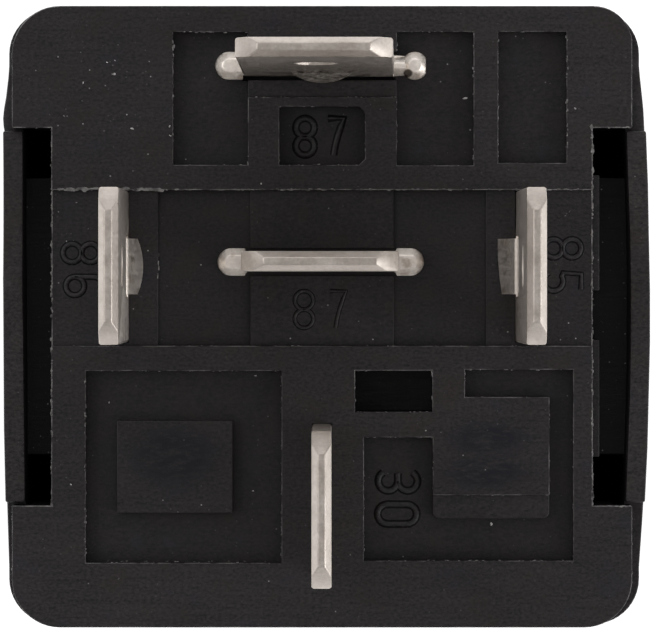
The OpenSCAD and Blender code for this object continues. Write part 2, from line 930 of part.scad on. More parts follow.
// Side view of the spring: down the yoke, round the heel and out along the open armature
module spring_side() {
    arm = [cos(gap_angle), -sin(gap_angle)] * (contact_y + spring_tip_r + 1 - hinge_y);
    inner = bend_arc(spring_bend_r);
    outer = bend_arc(spring_bend_r + spring_t);
    polygon(concat(
        [[yoke_back, spring_top]], inner, [inner[bend_steps] + arm],
        [outer[bend_steps] + arm], reversed(outer), [[yoke_back - spring_t, spring_top]]
    ));
}

// Plan of the spring's arm, which narrows to a round end under the moving contact
module spring_arm_plan() {
    w = spring_w / 2;
    tip = spring_tip_r;
    polygon([
        [-w, yoke_back - 1], [w, yoke_back - 1], [w, spring_neck_y[0]], [tip, spring_neck_y[1]],
        [tip, contact_y], [-tip, contact_y], [-tip, spring_neck_y[1]], [-w, spring_neck_y[0]]
    ]);
    translate([0, contact_y])
        circle(tip);
}

module contact_spring() {
    color(bronze)
        difference() {
            intersection() {
                along_x(spring_w)
                    spring_side();
                linear_extrude(body_h)
                    spring_arm_plan();
            }
            opened() {
                for (side = [-1, 1])
                    translate([side * armature_rivet_x, armature_rivet_y, 0])
                        cylinder(r = rivet_r, h = 2 * spring_z);
                translate([0, contact_y, 0])
                    cylinder(r = moving_shank_r, h = 2 * spring_z);
            }
            // Rivet holes on the yoke, and the window that softens the leg
            translate([0, yoke_back + 1, 0])
                rotate([90, 0, 0])
                    linear_extrude(2 + spring_t) {
                        for (side = [-1, 1])
                            translate([side * yoke_rivet_x, yoke_rivet_z])
                                circle(rivet_r);
                        translate([0, (spring_window[0] + spring_window[1]) / 2])
                            square([spring_window_w, spring_window[1] - spring_window[0]],
                                   center = true);
                        for (z = spring_window)
                            translate([0, z])
                                circle(d = spring_window_w);
                    }
        }
}

// A rivet on an upright axis: its head rises from z = 0 and its shank hangs below
module rivet(grip) {
    translate([0, 0, -grip])
        cylinder(r = rivet_r, h = grip);
    cylinder(r1 = rivet_head_r, r2 = rivet_head_r - 0.25, h = rivet_head_t);
}

module armature_rivets() {
    color(iron)
        opened()
            for (side = [-1, 1])
                translate([side * armature_rivet_x, armature_rivet_y, spring_z - spring_t])
                    mirror([0, 0, 1])
                        rivet(armature_t + spring_t);
}

module yoke_rivets() {
    color(iron)
        for (side = [-1, 1])
            translate([side * yoke_rivet_x, yoke_back - spring_t, yoke_rivet_z])
                rotate([90, 0, 0])
                    rivet(yoke_t + spring_t);
}

module terminal_30_rivet() {
    color(iron)
        translate([foot_rivet[0], foot_rivet[1], plate_z])
            rivet(sheet_t + yoke_t);
}

cover();
seated() base();
seated() terminal_30();
seated() terminal_85();
seated() terminal_86();
seated() terminal_87_outer();
seated() terminal_87_centre();
seated() contact_link();
seated() fixed_contact();
seated() rest_stop();
seated() bobbin();
seated() coil_winding();
seated() coil_lead_85();
seated() coil_lead_86();
seated() core();
seated() yoke();
seated() armature();
seated() contact_spring();
seated() moving_contact();
seated() armature_rivets();
seated() yoke_rivets();
seated() terminal_30_rivet();
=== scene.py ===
"""A plug-in automotive relay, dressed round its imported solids.

The frame is that of the solids, in metres: the relay stands on the closed end of its cover and
its blades point up. Sizes are in millimetres times MM.
"""

import math
import random

import bmesh
import bpy
from mathutils import Matrix, Vector
from mathutils.bvhtree import BVHTree


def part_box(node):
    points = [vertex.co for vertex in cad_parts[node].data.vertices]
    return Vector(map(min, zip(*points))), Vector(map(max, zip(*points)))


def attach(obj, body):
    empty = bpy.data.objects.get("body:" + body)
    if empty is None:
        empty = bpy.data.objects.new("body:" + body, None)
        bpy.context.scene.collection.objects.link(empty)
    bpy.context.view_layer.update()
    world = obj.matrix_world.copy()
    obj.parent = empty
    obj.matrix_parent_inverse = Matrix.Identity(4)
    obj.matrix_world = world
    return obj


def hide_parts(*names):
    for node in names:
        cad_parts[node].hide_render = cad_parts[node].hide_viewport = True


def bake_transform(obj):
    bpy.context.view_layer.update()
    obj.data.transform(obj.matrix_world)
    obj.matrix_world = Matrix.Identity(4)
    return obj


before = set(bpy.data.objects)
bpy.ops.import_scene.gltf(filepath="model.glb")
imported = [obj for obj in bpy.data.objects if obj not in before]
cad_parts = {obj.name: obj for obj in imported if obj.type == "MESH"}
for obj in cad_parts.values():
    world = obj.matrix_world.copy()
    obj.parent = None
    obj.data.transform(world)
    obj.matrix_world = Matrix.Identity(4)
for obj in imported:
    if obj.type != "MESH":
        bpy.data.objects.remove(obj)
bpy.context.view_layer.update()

MM = 0.001
BLADES = ["terminal_30", "terminal_85", "terminal_86", "terminal_87_outer", "terminal_87_centre"]
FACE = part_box("base")[1].z              # the flange's face
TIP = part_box("terminal_30")[1].z        # the blades' ends
MIDDLE = (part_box("yoke")[0].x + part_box("yoke")[1].x) / 2        # the base's middle, in X
NEAR_TIP = TIP - 2 * MM                 # nothing but the blades' ends is above this
SHARP = math.radians(30)                # edges that turn by more than this are rounded,
THIN = math.radians(105)                # but not by more than this, as on a thin wedge
CREASE = math.radians(35)               # edges that turn by more than this stay crisp
WELD = 0.0005 * MM                      # corners closer than this are one


def on_base(x, y, z=FACE):
    """A place given in millimetres from the base's middle, at height z."""
    return Vector((MIDDLE + x * MM, y * MM, z))


# ---- Camera, lamps and table ----

CAMERA_ABOVE_FACE = 237 * MM


def look_down():
    """A long lens looks straight down on the face from a short distance."""
    lens = bpy.data.cameras.new("camera")
    lens.sensor_fit = "HORIZONTAL"
    lens.sensor_width = 36
    lens.lens = 311.7
    lens.shift_x = -0.0084
    lens.shift_y = -0.0537
    lens.clip_start = 10 * MM
    lens.clip_end = 10
    camera = bpy.data.objects.new("camera", lens)
    camera.location = on_base(0.5, 1.5, FACE + CAMERA_ABOVE_FACE)
    bpy.context.scene.collection.objects.link(camera)
    bpy.context.scene.camera = camera


def softbox(name, place, size, watts):
    """A square lamp at place, with sides of size metres, aimed at the middle of the face."""
    light = bpy.data.lights.new(name, "AREA")
    light.shape = "SQUARE"
    light.size = size
    light.energy = watts
    lamp = bpy.data.objects.new(name, light)
    lamp.location = place
    aim = Vector((0, 0, FACE)) - Vector(place)
    lamp.rotation_euler = aim.to_track_quat("-Z", "Y").to_euler()
    bpy.context.scene.collection.objects.link(lamp)


def light_the_table():
    """A dim, slightly warm world and three lamps round the table."""
    world = bpy.data.worlds.new("studio")
    world.use_nodes = True
    background = world.node_tree.nodes["Background"].inputs
    background["Color"].default_value = (1.0, 0.99, 0.98, 1)
    background["Strength"].default_value = 0.5
    bpy.context.scene.world = world
    softbox("lamp_left", (-0.42, 0.10, 0.42), 0.34, 0.8)
    softbox("lamp_right", (0.46, -0.16, 0.26), 0.34, 1.5)
    softbox("lamp_back", (0.0, 0.5, 0.36), 0.3, 0.5)


def lay_table(material):
    """A sheet 3 m wide, a hair below the closed end so that the two don't share a plane."""
    half_width = 1.5
    hair = 0.02 * MM
    mesh = bpy.data.meshes.new("table")
    sheet = bmesh.new()
    bmesh.ops.create_grid(sheet, x_segments=2, y_segments=2, size=half_width,
                          matrix=Matrix.Translation((0, 0, -hair)))
    sheet.to_mesh(mesh)
    sheet.free()
    mesh.materials.append(material)
    table = bpy.data.objects.new("table", mesh)
    bpy.context.scene.collection.objects.link(table)


# ---- Materials ----

# Patches on the base: middle of each, and its half width and half depth, in millimetres
DUSTY = [(-9.3, 9.6, 3.6, 2.6), (-12.0, 2.5, 1.8, 6.5), (-12.0, -5.0, 1.8, 4.0),
         (12.4, 1.0, 1.2, 7.0)]         # where dust lies thick
SMUDGES = [(-6.20, -5.80, 2.4, 1.7), (6.94, -5.07, 2.2, 0.95), (6.85, -6.45, 2.3, 0.95)]
# painted shade of a small dent
EAR_DENT_SHADE = (3.58, 10.14, 0.24, 0.22)        # in an ear of the outer output blade
# painted shade on the lower flank of the outer output blade
FLANK_SHADE_PATCH = (-0.15, 10.06, 4.2, 0.5)        # the lower flank of that blade

# Colours of marks on the plastic and on the tin. The pit, flank and dent colours are painted shade
# painted shade at the bottom of deep holes
PAINTED_PIT_SHADE = (0.002, 0.0016, 0.0016)
BLUISH_BLACK = (0.0095, 0.0095, 0.0165)
REDDISH_BLACK = (0.0170, 0.0095, 0.0100)
SMUDGE_BLACK = (0.0015, 0.0017, 0.0060)
DULL_DUST = (0.065, 0.062, 0.063)
BRIGHT_DUST = (0.36, 0.35, 0.35)
SHEARED_GREY = (0.33, 0.285, 0.25)
# painted shade on a blade's lower flank
FLANK_SHADE_BROWN = (0.10, 0.078, 0.060)
STAIN_BROWN = (0.30, 0.20, 0.13)
# painted shade of a small dent in an ear
DENT_SHADE_BROWN = (0.05, 0.035, 0.028)


def add(material, kind, inputs=None, **settings):
    """Adds a node. An input given as a socket is linked, and any other value is set."""
    made = material.node_tree.nodes.new("ShaderNode" + kind)
    for name, value in settings.items():
        setattr(made, name, value)
    for name, value in (inputs or {}).items():
        if isinstance(value, bpy.types.NodeSocket):
            material.node_tree.links.new(value, made.inputs[name])
        else:
            made.inputs[name].default_value = value
    return made


def maths(material, operation, first, second, clamp=False):
    """The output of a Math node."""
    return add(material, "Math", {0: first, 1: second}, operation=operation,
               use_clamp=clamp).outputs[0]


def object_place(material):
    """Object coordinates, which are the frame's own."""
    return add(material, "TexCoord").outputs["Object"]


def per_mm(material, stretch=(1, 1, 1), shift=0.0):
    """Object coordinates in millimetres, with a pattern's stretch along each axis."""
    return add(material, "Mapping", {
        "Vector": object_place(material), "Location": (shift, shift, shift),
        "Scale": [s / MM for s in stretch]
    }).outputs["Vector"]


def noise(material, scale, detail=3.0, stretch=(1, 1, 1), rough=0.5, shift=0.0):
    """A noise pattern with scale waves to a millimetre."""
    return add(material, "TexNoise", {
        "Vector": per_mm(material, stretch, shift), "Scale": scale, "Detail": detail,
        "Roughness": rough
    }).outputs["Fac"]


def level(material, value, low, high, bottom=0.0, top=1.0):
    """Value from low to high, spread over bottom to top."""
    return add(material, "MapRange", {
        "Value": value, "From Min": low, "From Max": high, "To Min": bottom, "To Max": top
    }).outputs["Result"]


def blend_colour(material, amount, first, second, how="MIX"):
    """First and second are colours or sockets, and amount is the share of the second."""
    mixed = add(material, "Mix", {"Factor": amount}, data_type="RGBA", blend_type=how)
    for slot, value in ((6, first), (7, second)):
        if isinstance(value, bpy.types.NodeSocket):
            material.node_tree.links.new(value, mixed.inputs[slot])
        else:
            mixed.inputs[slot].default_value = (*value, 1)
    return mixed.outputs[2]


def shade(material, colour, tone):
    """Colour times a tone, which is a grey that varies round 1."""
    grey = add(material, "CombineColor", {"Red": tone, "Green": tone, "Blue": tone})
    return blend_colour(material, 1.0, colour, grey.outputs["Color"], "MULTIPLY")


def bump(material, height, strength, distance):
    """A normal that leans as on a surface of that height."""
    return add(material, "Bump", {
        "Height": height, "Strength": strength, "Distance": distance
    }).outputs["Normal"]


def start_material(name, metallic=0.0, specular=0.5):
    """A material with its shader, whose constant values are set on the shader itself."""
    material = bpy.data.materials.new(name)
    material.use_nodes = True
    shader = material.node_tree.nodes["Principled BSDF"]
    shader.inputs["Metallic"].default_value = metallic
    shader.inputs["Specular IOR Level"].default_value = specular
    return material, shader


def connect(material, shader, colour, roughness, normal):
    """Links the three patterns that every material of the relay has."""
    links = material.node_tree.links
    links.new(colour, shader.inputs["Base Color"])
    links.new(roughness, shader.inputs["Roughness"])
    links.new(normal, shader.inputs["Normal"])


def height_above(material, z):
    """Height above z, in millimetres."""
    place = object_place(material)
    up = add(material, "SeparateXYZ", {"Vector": place}).outputs["Z"]
    return maths(material, "MULTIPLY", maths(material, "SUBTRACT", up, z), 1 / MM)


def patch(material, x, y, across, deep):
    """An oval patch round a place on the base: 1 in its middle and 0 from its rim outwards."""
    from_middle = add(material, "VectorMath", {
        0: object_place(material), 1: on_base(x, y, 0)
    }, operation="SUBTRACT")
    size = add(material, "VectorMath", {
        0: from_middle.outputs["Vector"], 1: (1 / (across * MM), 1 / (deep * MM), 0)
    }, operation="MULTIPLY")
    length = add(material, "VectorMath", {0: size.outputs["Vector"]}, operation="LENGTH")
    return level(material, length.outputs["Value"], 1.0, 0.45)


def dust(material, cells_per_mm, size, share, shift=0.0):
    """Specks, most of them in loose clusters: up to 1 inside a speck. Size is a share of a cell,
    and share is how many cells hold one where the dust lies thick."""
    cells = add(material, "TexVoronoi", {
        "Vector": per_mm(material, shift=shift), "Scale": cells_per_mm, "Randomness": 1.0
    })
    pick = add(material, "SeparateColor", {"Color": cells.outputs["Color"]})
    thick = level(material, noise(material, 0.35, 3.0, shift=shift), 0.45, 0.68, 0.03, 0.5)
    for place in DUSTY:
        thick = maths(material, "ADD", thick, maths(
            material, "MULTIPLY", patch(material, *place), 0.7))
    chosen = maths(material, "LESS_THAN", pick.outputs["Red"],
                   maths(material, "MULTIPLY", thick, share))
    near = level(material, cells.outputs["Distance"], size, size * 0.4)
    bright = level(material, pick.outputs["Green"], 0, 1, 0.15, 1.0)
    return maths(material, "MULTIPLY", maths(material, "MULTIPLY", near, chosen), bright)


def black_plastic(name, face, recess, specks=1.0, specular=0.3, smudges=()):
    """Glass-filled nylon as moulded: fine grain, faint wipe marks, dust and dark smudges, with
    painted shade low down. Face and recess are the colours of the flange and of the floors of its
    pockets, the darker recess partly a duller finish and partly painted shade; what lies 2 to 3 mm
    below the face goes towards black as painted shade. Specks is how much dust lies there."""
    material, shader = start_material(name, specular=specular)
    wipes = noise(material, 1.0, 4.0, (0.5, 6, 1), 0.6)
    clouds = noise(material, 0.35, 4.0)
    grain = noise(material, 8.0, 3.0, (0.8, 1.2, 1), 0.6)
    # Floors below the face darken to the recess colour: partly a duller finish, partly painted
    # shade of the pockets.
    raised = level(material, height_above(material, FACE), -0.6, -0.15)
    colour = blend_colour(material, raised, recess, face)
    # Painted shade: the deeper the plastic lies below the face, from 2 to 3 mm, the nearer it goes
    # to black, as in the shadow of a deep hole.
    deep = level(material, height_above(material, FACE), -2.0, -3.0, 0, 0.3)
    colour = blend_colour(material, deep, colour, PAINTED_PIT_SHADE)
    tone = maths(material, "ADD", level(material, grain, 0.3, 0.7, 0.2, 1.8),
                 level(material, clouds, 0.3, 0.7, -0.16, 0.16))
    tone = maths(material, "ADD", tone, level(material, wipes, 0.3, 0.7, -0.25, 0.25))
    colour = shade(material, colour, tone)
    tint = noise(material, 0.8, 3.0, shift=5.1)
    colour = blend_colour(material, level(material, tint, 0.52, 0.72, 0, 0.35), colour,
                          BLUISH_BLACK)
    colour = blend_colour(material, level(material, tint, 0.48, 0.30, 0, 0.35), colour,
                          REDDISH_BLACK)
    streaks = noise(material, 1.6, 4.0, (1, 3, 1), 0.7, shift=2.9)
    for smudge in smudges:
        amount = maths(material, "MULTIPLY", patch(material, *smudge),
                       level(material, streaks, 0.36, 0.54, 0.1, 1.0))
        colour = blend_colour(material, amount, colour, SMUDGE_BLACK)
    if specks:
        colour = blend_colour(material, dust(material, 4.5, 0.17, 0.8 * specks), colour,
                              DULL_DUST)
        colour = blend_colour(material, dust(material, 3.2, 0.13, 0.45 * specks, 3.7), colour,
                              BRIGHT_DUST)
    rough = maths(material, "ADD", level(material, wipes, 0.3, 0.7, 0.46, 0.58),
                  level(material, grain, 0.3, 0.7, -0.05, 0.05))
    height = maths(material, "ADD", maths(material, "MULTIPLY", wipes, 0.7), grain)
    connect(material, shader, colour, rough, bump(material, height, 0.5, 0.02 * MM))
    return material


def pale_edge(name, dark, pale, low, high):
    """Roundings of the moulding, pale in broken lines near the face: thin flash, with a painted
    highlight where it catches the light.
    """
    material, shader = start_material(name, specular=0.3)
    broken = noise(material, 1.1, 5.0, rough=0.65)
    # Only the roundings near the face are pale, where the painted highlight falls.
    upper = level(material, height_above(material, FACE), -0.45, -0.32)
    amount = maths(material, "MULTIPLY", level(material, broken, low, high), upper)
    colour = blend_colour(material, amount, dark, pale)
    grain = noise(material, 12.0, 2.0)
    connect(material, shader, colour, level(material, grain, 0.3, 0.7, 0.4, 0.6),
            bump(material, grain, 0.3, 0.02 * MM))
    return material


def torn_nylon(name, dark, pale):
    """Torn flash or grit, paler than the moulding where it is thin."""
    material, shader = start_material(name, specular=0.3)
    clouds = noise(material, 3.0, 4.0, rough=0.6)
    colour = blend_colour(material, level(material, clouds, 0.35, 0.65), dark, pale)
    connect(material, shader, colour, level(material, clouds, 0.3, 0.7, 0.5, 0.7),
            bump(material, clouds, 0.4, 0.03 * MM))
    return material


def tinned_brass(name, low, high, stained):
    """Tin-plated brass. The flat ends were sheared after plating, so they are mottled, and so is
    the rest by the share stained. One blade's lower flank has painted shade, and where stained, an
    ear has the painted shade of a small dent."""
    material, shader = start_material(name, metallic=1.0)
    clouds = noise(material, 0.9, 5.0, rough=0.6)
    streaks = noise(material, 1.0, 4.0, (6, 6, 0.5))
    grain = noise(material, 9.0, 3.0)
    stain = noise(material, 1.5, 4.0, rough=0.6)
    end = level(material, height_above(material, TIP), -0.06, -0.02)
    colour = blend_colour(material, level(material, clouds, 0.35, 0.65), low, high)
    dark = maths(material, "MULTIPLY", end, level(material, stain, 0.42, 0.66, 0, 0.6))
    colour = blend_colour(material, dark, colour, SHEARED_GREY)
    # Painted shade, mottled, on the lower flank of the outer output blade, growing from 2 to 8 mm
    # below the ends.
    flank_shade = maths(material, "MULTIPLY", patch(material, *FLANK_SHADE_PATCH),
                  level(material, height_above(material, TIP), -2.0, -8.0))
    mottle = noise(material, 4.0, 4.0, rough=0.6, shift=1.3)
    flank_shade = maths(material, "MULTIPLY", flank_shade, level(material, mottle, 0.46, 0.62, 0, 0.75))
    colour = blend_colour(material, flank_shade, colour, FLANK_SHADE_BROWN)
    if stained:
        colour = blend_colour(material, level(material, stain, 0.52, 0.66, 0, stained), colour,
                              STAIN_BROWN)
        # Painted shade of a small dent in an ear of the outer output blade.
        dent_shade = level(material, patch(material, *EAR_DENT_SHADE), 0.2, 0.7, 0, 0.9)
        colour = blend_colour(material, dent_shade, colour, DENT_SHADE_BROWN)
    colour = shade(material, colour, level(material, grain, 0.3, 0.7, 0.93, 1.07))
    rough = maths(material, "ADD", level(material, streaks, 0.3, 0.7, 0.42, 0.54),
                  level(material, grain, 0.3, 0.7, -0.05, 0.05))
    height = maths(material, "ADD", grain, maths(material, "MULTIPLY", streaks, 0.7))
    connect(material, shader, colour, rough, bump(material, height, 0.16, 0.02 * MM))
    return material


def plain_metal(name, low, high, rough, lines=(1, 1, 1)):
    """A metal whose colour wanders between low and high, with fine lines or grain."""
    material, shader = start_material(name, metallic=1.0)
    clouds = noise(material, 0.6, 4.0)
    grain = noise(material, 5.0, 3.0, lines)
    colour = blend_colour(material, level(material, clouds, 0.3, 0.7), low, high)
    connect(material, shader, colour, level(material, grain, 0.3, 0.7, rough - 0.07, rough + 0.07),
            bump(material, grain, 0.25, 0.02 * MM))
    return material


def enamelled_copper():
    """Copper wire under clear enamel, its tone a little different from turn to turn."""
    material, shader = start_material("enamelled_copper", metallic=1.0)
    shader.inputs["Coat Weight"].default_value = 0.6
    shader.inputs["Coat Roughness"].default_value = 0.12
    turns = noise(material, 0.7, 3.0, (0.3, 0.3, 4))
    grain = noise(material, 6.0, 2.0)
    colour = blend_colour(material, turns, (0.42, 0.13, 0.055), (0.72, 0.30, 0.13))
    connect(material, shader, colour, level(material, grain, 0.3, 0.7, 0.22, 0.34),
            bump(material, grain, 0.1, 0.01 * MM))
    return material


def bobbin_nylon():
    """Dark grey nylon of the bobbin, a little glossier than the case."""
    material, shader = start_material("bobbin_nylon")
    clouds = noise(material, 0.5, 3.0)
    grain = noise(material, 8.0, 3.0)
    colour = blend_colour(material, clouds, (0.030, 0.034, 0.038), (0.052, 0.058, 0.064))
    connect(material, shader, colour, level(material, grain, 0.3, 0.7, 0.38, 0.52),
            bump(material, grain, 0.2, 0.02 * MM))
    return material


def paper_white():
    """The table: pale paper that the camera sees as white, and that keeps the shadow."""
    material, shader = start_material("table_paper", specular=0.2)
    fibre = noise(material, 0.4, 4.0)
    colour = blend_colour(material, fibre, (0.86, 0.86, 0.86), (0.90, 0.90, 0.90))
    shader.inputs["Roughness"].default_value = 0.9
    links = material.node_tree.links
    links.new(colour, shader.inputs["Base Color"])
    rays = add(material, "LightPath")
    seen = maths(material, "ADD", rays.outputs["Is Camera Ray"],
                 rays.outputs["Is Glossy Ray"], clamp=True)
    shader.inputs["Emission Color"].default_value = (1, 1, 1, 1)
    links.new(maths(material, "MULTIPLY", seen, 0.6), shader.inputs["Emission Strength"])
    return material


# ---- Making pieces ----

def add_piece(name, mesh, body="root"):
    """Puts a finished mesh in the scene as a piece that rides on body, unless body is None."""
    piece = bpy.data.objects.new(name, mesh)
    bpy.context.scene.collection.objects.link(piece)
    if body:
        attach(piece, body)
    return piece


def merged(node):
    """A bmesh of a solid, with its loose triangles joined into whole faces."""
    shape = bmesh.new()
    shape.from_mesh(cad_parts[node].data)
    bmesh.ops.remove_doubles(shape, verts=shape.verts, dist=WELD)
    bmesh.ops.dissolve_limit(shape, angle_limit=math.radians(1), verts=shape.verts,
                             edges=shape.edges)
    return shape


def blade_ends():
    """The lowest and highest corners of each blade's end."""
    ends = []
    for blade in BLADES:
        places = [v.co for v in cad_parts[blade].data.vertices if v.co.z > NEAR_TIP]
        ends.append([(pick(p.x for p in places), pick(p.y for p in places))
                     for pick in (min, max)])
    return ends


def in_a_slot(edge, ends):
    """Whether an edge lies round a blade, where the slot leaves no room for a rounding."""
    near = 0.45 * MM
    return any(all(low[0] - near < v.co.x < high[0] + near
                   and low[1] - near < v.co.y < high[1] + near for v in edge.verts)
               for low, high in ends)


def lance_test(shape):
    """A test of whether a place lies on a blade's lance, out past its two flats."""
    lance_top = FACE + 2.6 * MM
    out = 0.05 * MM
    tall = [f for f in shape.faces if max(v.co.z for v in f.verts) > NEAR_TIP]
    flats = sorted(tall, key=lambda face: face.calc_area())[-2:]
    planes = [(flat.normal.copy(), flat.verts[0].co.copy()) for flat in flats]
    return lambda place: FACE < place.z < lance_top and any(
        (place - corner).dot(normal) > out for normal, corner in planes)


def sharp_edges(shape):
    """Edges that stand out sharply. Inner corners keep their sharp line."""
    return [e for e in shape.edges
            if e.is_manifold and e.is_convex and SHARP < e.calc_face_angle() < THIN]


def finished(shape, name, materials, flats=()):
    """The mesh of a bmesh, smooth but for its sharp edges and the edges of its flats."""
    for face in shape.faces:
        face.smooth = True
    for edge in shape.edges:
        edge.smooth = (edge.calc_face_angle(math.pi) < CREASE
                       and not any(face in flats for face in edge.link_faces))
    mesh = bpy.data.meshes.new(name)
    shape.to_mesh(mesh)
    shape.free()
    for material in materials:
        mesh.materials.append(material)
    return mesh


def straighten_sides(shape):
    """Moves the can's sides outwards as they near its corners at high Y, so that they run
    straighter. The left side also swells past the notch's end. All in millimetres."""
    side = 11.9                         # what lies further out than this is a side
    most, most_at = 0.19, 10.5          # the move grows as the square of Y, to most at most_at,
    corner, fade = 10.2, 1.6            # but over the last of the way to the corner it fades
    right_share = 0.45                  # the right side moves by this share of the left one
    swell, swell_at, reach = 0.07, 8.3, 0.9
    notch_end = 7.9                     # the swelling starts here, at once
    cuts = (*range(1, 8), 7.95, swell_at, 8.7, 9.2, 10, 11)
    for y in cuts:
        bmesh.ops.bisect_plane(shape, geom=shape.verts[:] + shape.edges[:] + shape.faces[:],
                               plane_co=(0, y * MM, 0), plane_no=(0, 1, 0), dist=0.001 * MM)
    for vert in shape.verts:
        x, y = vert.co.x / MM, vert.co.y / MM
        if abs(x) > side and 0 < y < corner:
            out = most * (y / most_at) ** 2 * min(1.0, (corner - y) / fade)
            beside = swell * max(0.0, 1 - abs(y - swell_at) / reach) if y > notch_end else 0
            vert.co.x += (right_share * out if x > 0 else -out - beside) * MM


def keep_flats(piece):
    """Large flat faces keep their own shading beside small roundings."""
    modifier = piece.modifiers.new("flat_faces", "WEIGHTED_NORMAL")
    modifier.weight = 100
    modifier.keep_sharp = True


def round_edges(shape, edges, width, segments, finish):
    """Rounds edges. The new faces take the finish, or their neighbours' where that is -1."""
    bmesh.ops.bevel(shape, geom=edges, offset=width, offset_type="OFFSET", segments=segments,
                    profile=0.5, affect="EDGES", clamp_overlap=False, material=finish)


def add_rounded(shape, node, name, materials, flats=()):
    """Puts a rounded shape in the scene in place of a node."""
    piece = add_piece(name, finished(shape, name, materials, flats))
    keep_flats(piece)
    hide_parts(node)


def bare_copy(node):
    """A bmesh of a solid, with the first finish on all its faces."""
    shape = merged(node)
    for face in shape.faces:
        face.material_index = 0
    return shape


def moulded_base(materials):
    """The base, rounded but for its slots, with pale flash and a painted highlight on its
    roundings.
    """
    shape = bare_copy("base")
    ends = blade_ends()
    edges = [e for e in sharp_edges(shape) if not in_a_slot(e, ends)]
    round_edges(shape, edges, 0.04 * MM, segments=2, finish=len(materials) - 1)
    shape.normal_update()
    square = 0.9999                     # of a normal's parts, in a face square to an axis
    flats = {f for f in shape.faces
             if f.material_index == 0 and max(abs(part) for part in f.normal) > square}
    for face in shape.faces:
        face.material_index = base_finish(face)
    add_rounded(shape, "base", "base_moulding", materials, flats)


def moulded_cover(material):
    """The cover, with its sides made straighter."""
    shape = bare_copy("cover")
    straighten_sides(shape)
    round_edges(shape, sharp_edges(shape), 0.08 * MM, segments=2, finish=0)
    shape.normal_update()
    add_rounded(shape, "cover", "cover_can", [material])


def stamped_blade(node, materials):
    """A blade with its long upright edges rounded more than the rest, and its lance left crisp."""
    shape = bare_copy(node)
    on_lance = lance_test(shape)
    long = 7 * MM
    upright = [e for e in sharp_edges(shape)
               if abs(e.verts[0].co.z - e.verts[1].co.z) > long]
    round_edges(shape, upright, 0.1 * MM, segments=3, finish=-1)
    edges = [e for e in sharp_edges(shape)
             if not on_lance((e.verts[0].co + e.verts[1].co) / 2)]
    round_edges(shape, edges, 0.05 * MM, segments=2, finish=len(materials) - 1)
    shape.normal_update()
    for face in shape.faces:
        face.material_index = blade_finish(face, on_lance)
    add_rounded(shape, node, node.replace("terminal", "blade"), materials)


def base_finish(face):
    """The moulding's finish: 0 plain, and on its roundings 1 faint and 2 bold pale flash, with a
    painted highlight.
    """
    centre = face.calc_center_median()
    x = (centre.x - MIDDLE) / MM
    y = centre.y / MM
    below_face = (FACE - centre.z) / MM
    if not face.material_index or below_face > 0.35:
        return 0
    round_a_notch = 11 < abs(x) < 12.7 and y > -9
    if round_a_notch:
        return 2
    if below_face > 0.1:
        return 0
    upper_step = abs(y - 5.28) < 0.1
    return 2 if upper_step else 1


def blade_finish(face, on_lance):
    """A blade's finish: 0 plated, and 1 a brighter tin on its ears and lance, a painted highlight
    with real stains.
    """
    centre = face.calc_center_median()
    on_ear = abs(centre.z - FACE) < 0.5 * MM
    return int(on_ear or on_lance(centre))


def base_floors():
    """A tree that finds the base's surface under a ray."""
    base = merged("base")
    floors = BVHTree.FromBMesh(base)
    base.free()
    return floors


def floor_below(floors, x, y):
    """The spot on the base's surface at x and y, in millimetres from its middle."""
    return floors.ray_cast(on_base(x, y, FACE + MM), Vector((0, 0, -1)))[0]


# ---- Numbers ----

BOWL = 0.385          # radius of a digit's bowls, in millimetres
HIGH = 0.77           # from a digit's middle to its top


def arc(x, y, radius, start, end, steps=10):
    """Points of an arc, from start to end in degrees."""
    turns = [math.radians(start + (end - start) * i / steps) for i in range(steps + 1)]
    return [(x + radius * math.cos(a), y + radius * math.sin(a)) for a in turns]


def digit(sign):
    """Strokes of a digit round its middle, each a list of points in millimetres."""
    if sign == "8":
        return [arc(0, side * BOWL, BOWL, 0, 360, 24) for side in (1, -1)]
    if sign == "7":
        return [[(-0.33, HIGH), (0.34, HIGH), (0.2, 0.42), (0.06, 0.0), (-0.04, -0.4),
                 (-0.1, -HIGH)]]
    if sign == "6":
        return [arc(0, -BOWL, BOWL, 0, 360, 24),
                arc(0, HIGH - BOWL, BOWL, 60, 180) + [(-BOWL, -BOWL)]]
    if sign == "5":
        return [[(0.34, HIGH), (-0.3, HIGH), (-0.35, 0.02)]
                + arc(0, -BOWL, BOWL + 0.02, 120, -150, 16)]
    if sign == "3":
        return [arc(0, HIGH - BOWL, BOWL, 150, -90, 16) + [(-0.3, 0)],
                [(0, 0)] + arc(0, -BOWL, BOWL, 90, -150, 16)]
    return [arc(0, HIGH - BOWL, BOWL, 0, 180) + arc(0, BOWL - HIGH, BOWL, 180, 360)
            + [(BOWL, HIGH - BOWL)]]


# Each digit, with its place from the base's middle in millimetres, turn in degrees,
# size and boldness
DIGITS = [
    ("8", -0.71, 7.52, 0, 1, 1), ("7", 0.58, 7.52, 0, 1, 1),
    ("8", -0.75, 0.30, 0, 1, 0.6), ("7", 0.67, 0.30, 0, 1, 0.6),
    ("3", 3.17, -6.87, -90, 1.06, 1), ("0", 3.14, -8.25, -90, 1.06, 1),
    ("8", -10.04, 2.66, -90, 1, 0.85), ("6", -9.92, 1.28, -90, 1, 0.85),
    ("8", 10.04, 2.85, -90, 1, 0.85), ("5", 10.04, 1.48, -90, 1, 0.85),
]


